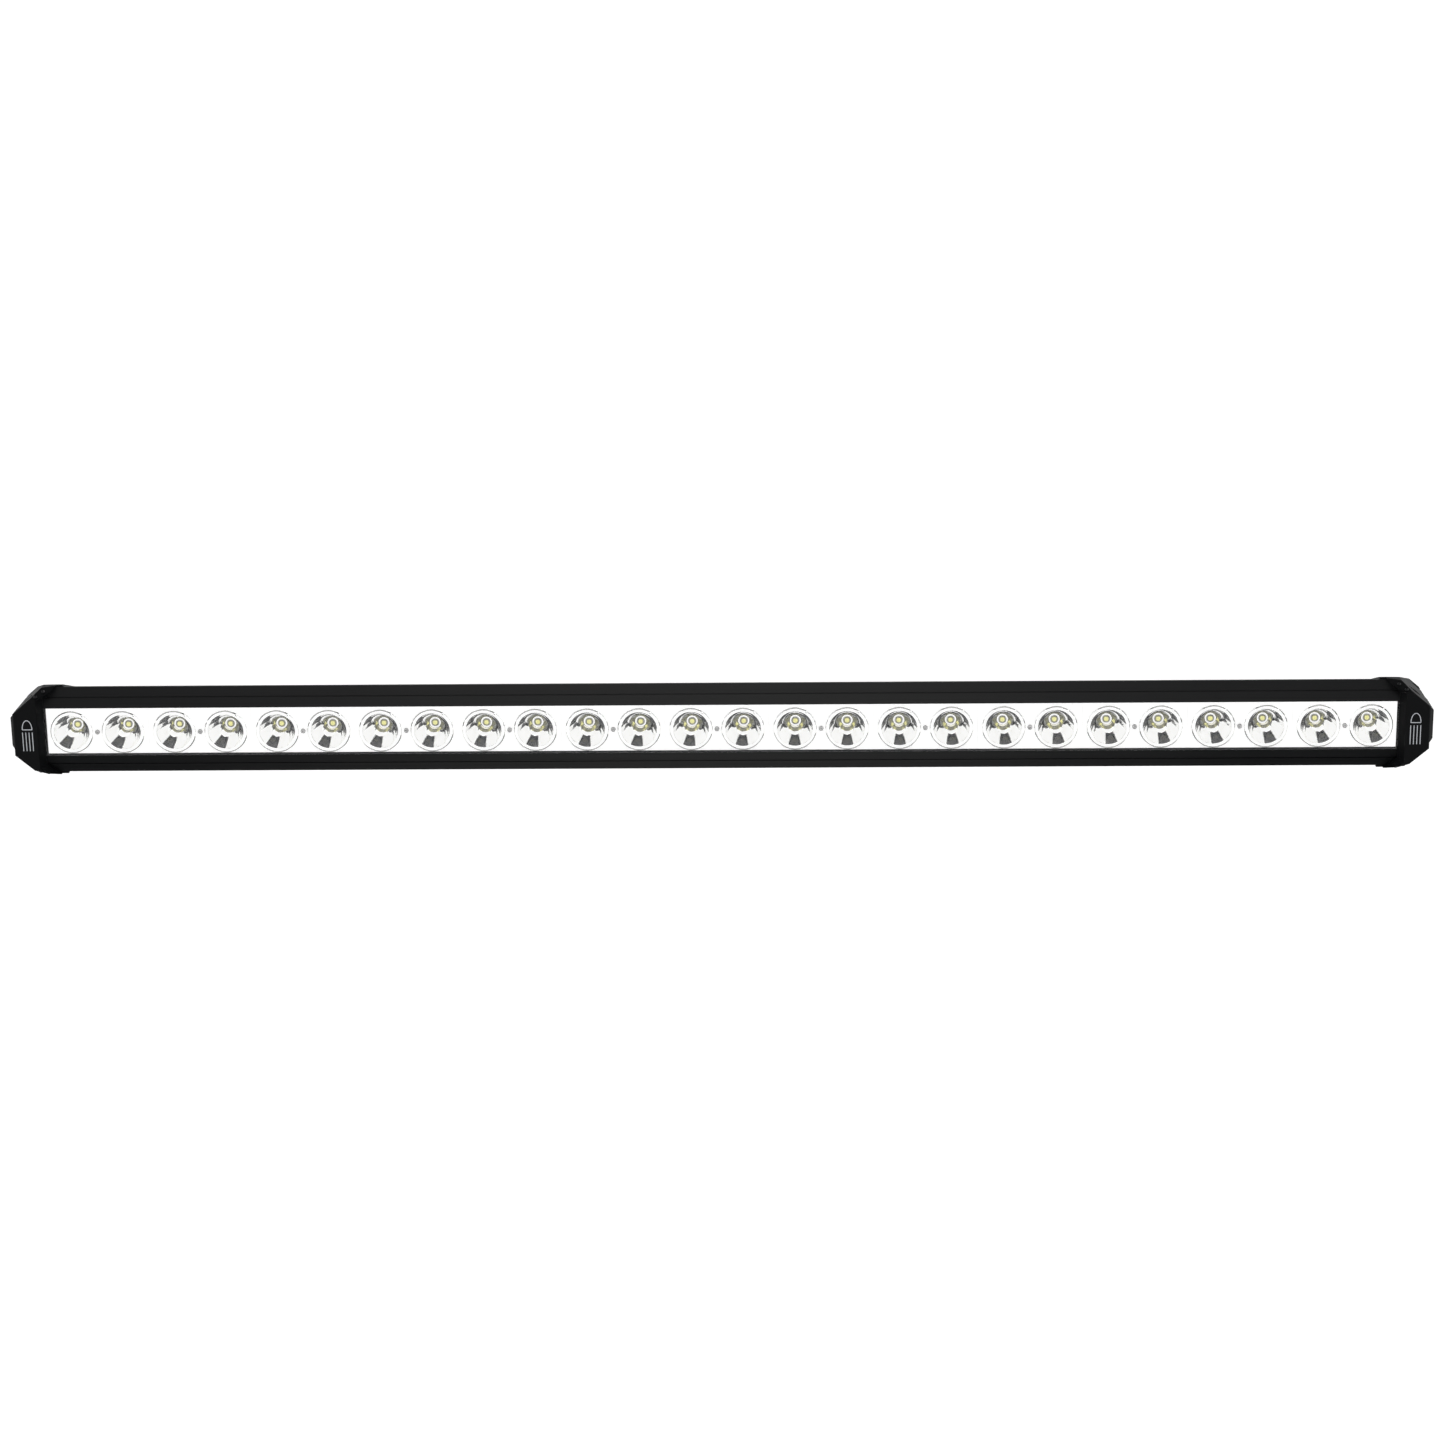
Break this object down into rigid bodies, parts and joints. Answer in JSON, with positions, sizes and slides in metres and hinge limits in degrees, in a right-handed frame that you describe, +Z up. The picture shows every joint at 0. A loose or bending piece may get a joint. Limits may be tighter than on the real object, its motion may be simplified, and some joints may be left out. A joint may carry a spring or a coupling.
{
  "type": "led light bar",
  "caption": "Long single-row LED light bar: finned black housing, mirror reflector cups behind a clear window, bevelled end caps and swivel mounting pads.",
  "frame": {"origin": "centre of the bounding box, in the middle of the bar's length", "axes": "+X along the bar to the viewer's right when facing the lens, +Y out of the finned back, +Z up"},
  "size_m": [1.2716, 0.079, 0.083],
  "materials": {
    "anodised_black": "black anodised extrusion, satin",
    "black_screw": "black oxide steel",
    "board_green": "green solder mask",
    "board_white": "white solder mask on an aluminium board",
    "capacitor": "sleeved aluminium can",
    "cast_black": "black powder coat, fine texture",
    "component_dark": "moulded electronic component",
    "gland_nylon": "black nylon",
    "led_ceramic": "ceramic package with yellow phosphor",
    "led_dome": "clear silicone dome over yellow phosphor",
    "lens_clear": "clear hard-coated polycarbonate",
    "pad_black": "black powder coat on steel",
    "reflector_metallised": "vacuum metallised plastic, mirror bright",
    "seal_rubber": "matt silicone rubber",
    "splice_tin": "tinned crimp",
    "stainless": "stainless steel",
    "terminal_green": "moulded terminal block",
    "thermal_grey": "grey gap filler",
    "washer_nylon": "nylon friction ring",
    "wire_insulation": "insulated copper wire"
  },
  "bodies": {
    "left_mount": {"mount_pad_left": "pad_black", "friction_washer_left": "washer_nylon"},
    "bar": {"breather_vent": "gland_nylon", "cap_screws_left": "black_screw", "cap_screws_right": "black_screw", "corner_screws_left": "black_screw", "corner_screws_right": "black_screw", "driver_board": "board_green", "driver_capacitors": "capacitor", "driver_gap_pad": "thermal_grey", "driver_inductors": "component_dark", "driver_transistors": "component_dark", "end_cap_left": "cast_black", "end_cap_right": "cast_black", "end_gasket_left": "seal_rubber", "end_gasket_right": "seal_rubber", "gland_body": "gland_nylon", "gland_lock_nut": "gland_nylon", "gland_nut": "gland_nylon", "gland_seal": "seal_rubber", "housing": "anodised_black", "input_leads": "wire_insulation", "lead_grommet": "seal_rubber", "lead_splices": "splice_tin", "led_board_left": "board_white", "led_board_right": "board_white", "led_domes": "led_dome", "led_packages": "led_ceramic", "lens": "lens_clear", "lens_seal": "seal_rubber", "output_leads": "wire_insulation", "pivot_screw_left": "black_screw", "pivot_screw_right": "black_screw", "reflector_01": "reflector_metallised", "reflector_02": "reflector_metallised", "reflector_03": "reflector_metallised", "reflector_04": "reflector_metallised", "reflector_05": "reflector_metallised", "reflector_06": "reflector_metallised", "reflector_07": "reflector_metallised", "reflector_08": "reflector_metallised", "reflector_09": "reflector_metallised", "reflector_10": "reflector_metallised", "reflector_11": "reflector_metallised", "reflector_12": "reflector_metallised", "reflector_13": "reflector_metallised", "reflector_screws": "stainless", "terminal_block": "terminal_green", "thermal_pad_left": "thermal_grey", "thermal_pad_right": "thermal_grey"},
    "right_mount": {"mount_pad_right": "pad_black", "friction_washer_right": "washer_nylon"}
  },
  "joints": [
    {"name": "tilt", "type": "hinge", "parent": "left_mount", "child": "bar", "pos_m": [-0.6358, -0.0105, 0], "axis": [1, 0, 0], "range_deg": [-90, 90]},
    {"name": "right_swivel", "type": "hinge", "parent": "bar", "child": "right_mount", "pos_m": [0.6358, -0.0105, 0], "axis": [1, 0, 0], "range_deg": [-90, 90]}
  ],
  "couplings": [
    {"joint": "right_swivel", "follows": "tilt", "ratio": -1}
  ]
}
